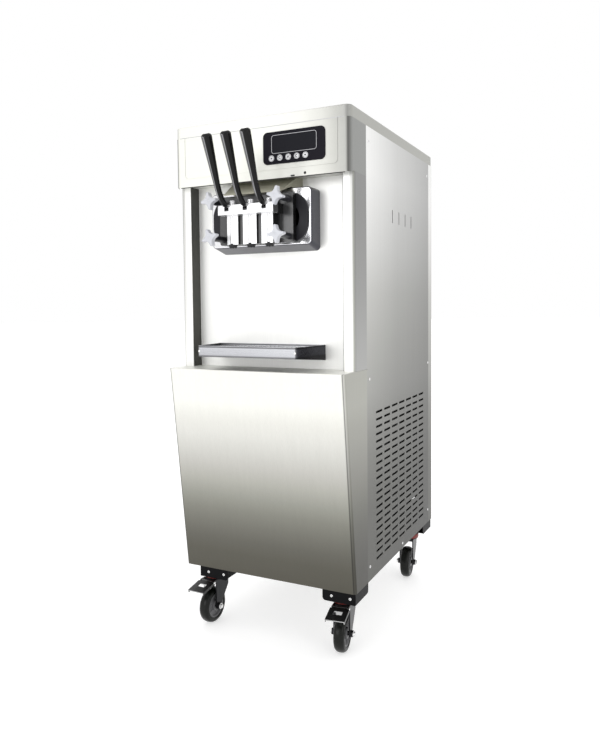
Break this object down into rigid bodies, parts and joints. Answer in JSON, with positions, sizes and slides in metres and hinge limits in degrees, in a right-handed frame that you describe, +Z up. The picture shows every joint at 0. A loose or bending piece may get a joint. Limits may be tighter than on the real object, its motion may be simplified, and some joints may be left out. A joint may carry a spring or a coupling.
{
  "type": "soft-serve ice cream machine",
  "caption": "Floor-standing soft-serve ice cream machine with curved tap handles, star hand knobs, a control panel, a drip tray and braked casters.",
  "frame": {"origin": "on the floor, below the centre of the whole machine", "axes": "+X to the machine's right-hand side seen from the front, +Y to its back, +Z up"},
  "size_m": [0.5436, 0.9204, 1.473],
  "materials": {
    "side_sheet": "brushed stainless sheet",
    "front_sheet": "fine brushed stainless sheet",
    "hood_sheet": "satin stainless sheet",
    "chrome": "polished chrome",
    "gasket_rubber": "semi-gloss black rubber",
    "bezel_plastic": "gloss black film",
    "button_plastic": "gloss black with a pale ring",
    "handle_plastic": "high gloss black",
    "plunger_steel": "turned stainless",
    "knob_plastic": "white moulded plastic",
    "stud_steel": "gloss black",
    "screw_steel": "bright zinc",
    "frame_steel": "grey primer",
    "hopper_steel": "satin stainless",
    "cylinder_steel": "turned stainless",
    "tray_steel": "satin stainless",
    "motor_paint": "black enamel",
    "gearbox_iron": "machined casting",
    "belt_rubber": "matte black",
    "fin_aluminium": "thin fins",
    "fan_plastic": "moulded black",
    "shroud_metal": "galvanised",
    "box_metal": "grey enamel",
    "shoe_paint": "black enamel",
    "fork_paint": "dark grey enamel",
    "wheel_tyre": "dark grey polyurethane",
    "pedal_steel": "pressed zinc-plated steel"
  },
  "bodies": {
    "cabinet": {"base_frame": "frame_steel", "base_pan": "frame_steel", "left_side_panel": "side_sheet", "right_side_panel": "side_sheet", "rear_panel": "side_sheet", "front_surround": "front_sheet", "lower_front_panel": "front_sheet", "head_cover": "front_sheet", "top_rim": "front_sheet", "control_bezel": "bezel_plastic", "spout_hood": "hood_sheet", "face_plate": "chrome", "door_gasket": "gasket_rubber", "dispensing_head": "chrome", "pivot_pin": "chrome", "knob_studs": "stud_steel", "mix_hoppers": "hopper_steel", "freezing_cylinders": "cylinder_steel", "drive_motor": "motor_paint", "gearbox": "gearbox_iron", "drive_belt": "belt_rubber", "compressor": "motor_paint", "condenser": "fin_aluminium", "fan_motor": "shroud_metal", "control_box": "box_metal", "caster_brackets": "shoe_paint", "panel_screws": "screw_steel"},
    "left_handle": {"left_handle": "handle_plastic"},
    "left_plunger": {"left_plunger": "plunger_steel"},
    "middle_handle": {"middle_handle": "handle_plastic"},
    "middle_plunger": {"middle_plunger": "plunger_steel"},
    "right_handle": {"right_handle": "handle_plastic"},
    "right_plunger": {"right_plunger": "plunger_steel"},
    "upper_left_knob": {"upper_left_knob": "knob_plastic"},
    "lower_left_knob": {"lower_left_knob": "knob_plastic"},
    "upper_right_knob": {"upper_right_knob": "knob_plastic"},
    "lower_right_knob": {"lower_right_knob": "knob_plastic"},
    "gearbox_pulley": {"gearbox_pulley": "gearbox_iron"},
    "motor_pulley": {"motor_pulley": "gearbox_iron"},
    "left_beater": {"left_beater": "cylinder_steel"},
    "right_beater": {"right_beater": "cylinder_steel"},
    "fan_blade": {"fan_blade": "fan_plastic"},
    "hopper_lid": {"hopper_lid": "hopper_steel"},
    "drip_tray": {"drip_tray": "tray_steel"},
    "drip_grate": {"drip_grate": "tray_steel"},
    "mix_button": {"mix_button": "button_plastic"},
    "wash_button": {"wash_button": "button_plastic"},
    "chill_button": {"chill_button": "button_plastic"},
    "auto_button": {"auto_button": "button_plastic"},
    "stop_button": {"stop_button": "button_plastic"},
    "front_left_fork": {"front_left_fork": "fork_paint"},
    "front_left_wheel": {"front_left_wheel": "wheel_tyre"},
    "front_left_pedal": {"front_left_pedal": "pedal_steel"},
    "front_right_fork": {"front_right_fork": "fork_paint"},
    "front_right_wheel": {"front_right_wheel": "wheel_tyre"},
    "front_right_pedal": {"front_right_pedal": "pedal_steel"},
    "rear_left_fork": {"rear_left_fork": "fork_paint"},
    "rear_left_wheel": {"rear_left_wheel": "wheel_tyre"},
    "rear_right_fork": {"rear_right_fork": "fork_paint"},
    "rear_right_wheel": {"rear_right_wheel": "wheel_tyre"}
  },
  "joints": [
    {"name": "left_handle_pull", "type": "hinge", "parent": "cabinet", "child": "left_handle", "pos_m": [-0.0565, -0.35225, 1.201], "axis": [1, 0, 0], "range_deg": [0, 35]},
    {"name": "left_plunger_lift", "type": "slide", "parent": "cabinet", "child": "left_plunger", "axis": [0, 0, 1], "range_m": [0, 0.0139]},
    {"name": "middle_handle_pull", "type": "hinge", "parent": "cabinet", "child": "middle_handle", "pos_m": [0, -0.35225, 1.201], "axis": [1, 0, 0], "range_deg": [0, 35]},
    {"name": "middle_plunger_lift", "type": "slide", "parent": "cabinet", "child": "middle_plunger", "axis": [0, 0, 1], "range_m": [0, 0.0139]},
    {"name": "right_handle_pull", "type": "hinge", "parent": "cabinet", "child": "right_handle", "pos_m": [0.0565, -0.35225, 1.201], "axis": [1, 0, 0], "range_deg": [0, 35]},
    {"name": "right_plunger_lift", "type": "slide", "parent": "cabinet", "child": "right_plunger", "axis": [0, 0, 1], "range_m": [0, 0.0139]},
    {"name": "upper_left_knob_turn", "type": "hinge", "parent": "cabinet", "child": "upper_left_knob", "pos_m": [-0.1, -0.37375, 1.225], "axis": [0, -1, 0], "continuous": true},
    {"name": "lower_left_knob_turn", "type": "hinge", "parent": "cabinet", "child": "lower_left_knob", "pos_m": [-0.1, -0.37375, 1.128], "axis": [0, -1, 0], "continuous": true},
    {"name": "upper_right_knob_turn", "type": "hinge", "parent": "cabinet", "child": "upper_right_knob", "pos_m": [0.1, -0.37375, 1.225], "axis": [0, -1, 0], "continuous": true},
    {"name": "lower_right_knob_turn", "type": "hinge", "parent": "cabinet", "child": "lower_right_knob", "pos_m": [0.1, -0.37375, 1.128], "axis": [0, -1, 0], "continuous": true},
    {"name": "gearbox_pulley_spin", "type": "hinge", "parent": "cabinet", "child": "gearbox_pulley", "pos_m": [0, 0.28075, 1.156], "axis": [0, 1, 0], "continuous": true},
    {"name": "motor_pulley_spin", "type": "hinge", "parent": "cabinet", "child": "motor_pulley", "pos_m": [0, 0.28075, 0.888], "axis": [0, 1, 0], "continuous": true},
    {"name": "left_beater_spin", "type": "hinge", "parent": "cabinet", "child": "left_beater", "pos_m": [-0.078, -0.08925, 1.178], "axis": [0, 1, 0], "continuous": true},
    {"name": "right_beater_spin", "type": "hinge", "parent": "cabinet", "child": "right_beater", "pos_m": [0.078, -0.08925, 1.178], "axis": [0, 1, 0], "continuous": true},
    {"name": "fan_spin", "type": "hinge", "parent": "cabinet", "child": "fan_blade", "pos_m": [0.112, 0.09075, 0.388], "axis": [1, 0, 0], "continuous": true},
    {"name": "hopper_lid_lift", "type": "slide", "parent": "cabinet", "child": "hopper_lid", "axis": [0, 0, 1], "range_m": [0, 0.15]},
    {"name": "drip_tray_slide", "type": "slide", "parent": "cabinet", "child": "drip_tray", "axis": [0, -1, 0], "range_m": [0, 0.15]},
    {"name": "drip_grate_lift", "type": "slide", "parent": "drip_tray", "child": "drip_grate", "axis": [0, 0, 1], "range_m": [0, 0.06]},
    {"name": "mix_button_press", "type": "slide", "parent": "cabinet", "child": "mix_button", "axis": [0, 1, 0], "range_m": [0, 0.001], "stiffness_N_per_m": 900, "springref_m": -0.0005},
    {"name": "wash_button_press", "type": "slide", "parent": "cabinet", "child": "wash_button", "axis": [0, 1, 0], "range_m": [0, 0.001], "stiffness_N_per_m": 900, "springref_m": -0.0005},
    {"name": "chill_button_press", "type": "slide", "parent": "cabinet", "child": "chill_button", "axis": [0, 1, 0], "range_m": [0, 0.001], "stiffness_N_per_m": 900, "springref_m": -0.0005},
    {"name": "auto_button_press", "type": "slide", "parent": "cabinet", "child": "auto_button", "axis": [0, 1, 0], "range_m": [0, 0.001], "stiffness_N_per_m": 900, "springref_m": -0.0005},
    {"name": "stop_button_press", "type": "slide", "parent": "cabinet", "child": "stop_button", "axis": [0, 1, 0], "range_m": [0, 0.001], "stiffness_N_per_m": 900, "springref_m": -0.0005},
    {"name": "front_left_swivel", "type": "hinge", "parent": "cabinet", "child": "front_left_fork", "pos_m": [-0.21, -0.20325, 0.138], "axis": [0, 0, 1], "continuous": true},
    {"name": "front_left_roll", "type": "hinge", "parent": "front_left_fork", "child": "front_left_wheel", "pos_m": [-0.21084, -0.22723, 0.051], "axis": [0.9994, -0.0349, 0], "continuous": true},
    {"name": "front_left_brake", "type": "hinge", "parent": "front_left_fork", "child": "front_left_pedal", "pos_m": [-0.2116, -0.24922, 0.128], "axis": [0.9994, -0.0349, 0], "range_deg": [-16, 0]},
    {"name": "front_right_swivel", "type": "hinge", "parent": "cabinet", "child": "front_right_fork", "pos_m": [0.21, -0.20325, 0.138], "axis": [0, 0, 1], "continuous": true},
    {"name": "front_right_roll", "type": "hinge", "parent": "front_right_fork", "child": "front_right_wheel", "pos_m": [0.21334, -0.22702, 0.051], "axis": [0.9903, 0.1392, 0], "continuous": true},
    {"name": "front_right_brake", "type": "hinge", "parent": "front_right_fork", "child": "front_right_pedal", "pos_m": [0.2164, -0.2488, 0.128], "axis": [0.9903, 0.1392, 0], "range_deg": [-16, 0]},
    {"name": "rear_left_swivel", "type": "hinge", "parent": "cabinet", "child": "rear_left_fork", "pos_m": [-0.21, 0.37475, 0.138], "axis": [0, 0, 1], "continuous": true},
    {"name": "rear_left_roll", "type": "hinge", "parent": "rear_left_fork", "child": "rear_left_wheel", "pos_m": [-0.20791, 0.35084, 0.051], "axis": [0.9962, 0.0872, 0], "continuous": true},
    {"name": "rear_right_swivel", "type": "hinge", "parent": "cabinet", "child": "rear_right_fork", "pos_m": [0.21, 0.37475, 0.138], "axis": [0, 0, 1], "continuous": true},
    {"name": "rear_right_roll", "type": "hinge", "parent": "rear_right_fork", "child": "rear_right_wheel", "pos_m": [0.21251, 0.35088, 0.051], "axis": [0.9945, 0.1045, 0], "continuous": true}
  ],
  "couplings": [
    {"joint": "left_plunger_lift", "follows": "left_handle_pull", "m_per_rad": 0.022535},
    {"joint": "middle_plunger_lift", "follows": "middle_handle_pull", "m_per_rad": 0.022535},
    {"joint": "right_plunger_lift", "follows": "right_handle_pull", "m_per_rad": 0.022535},
    {"joint": "motor_pulley_spin", "follows": "gearbox_pulley_spin", "ratio": 2.2222},
    {"joint": "left_beater_spin", "follows": "gearbox_pulley_spin", "ratio": 0.33333},
    {"joint": "right_beater_spin", "follows": "gearbox_pulley_spin", "ratio": 0.33333}
  ]
}
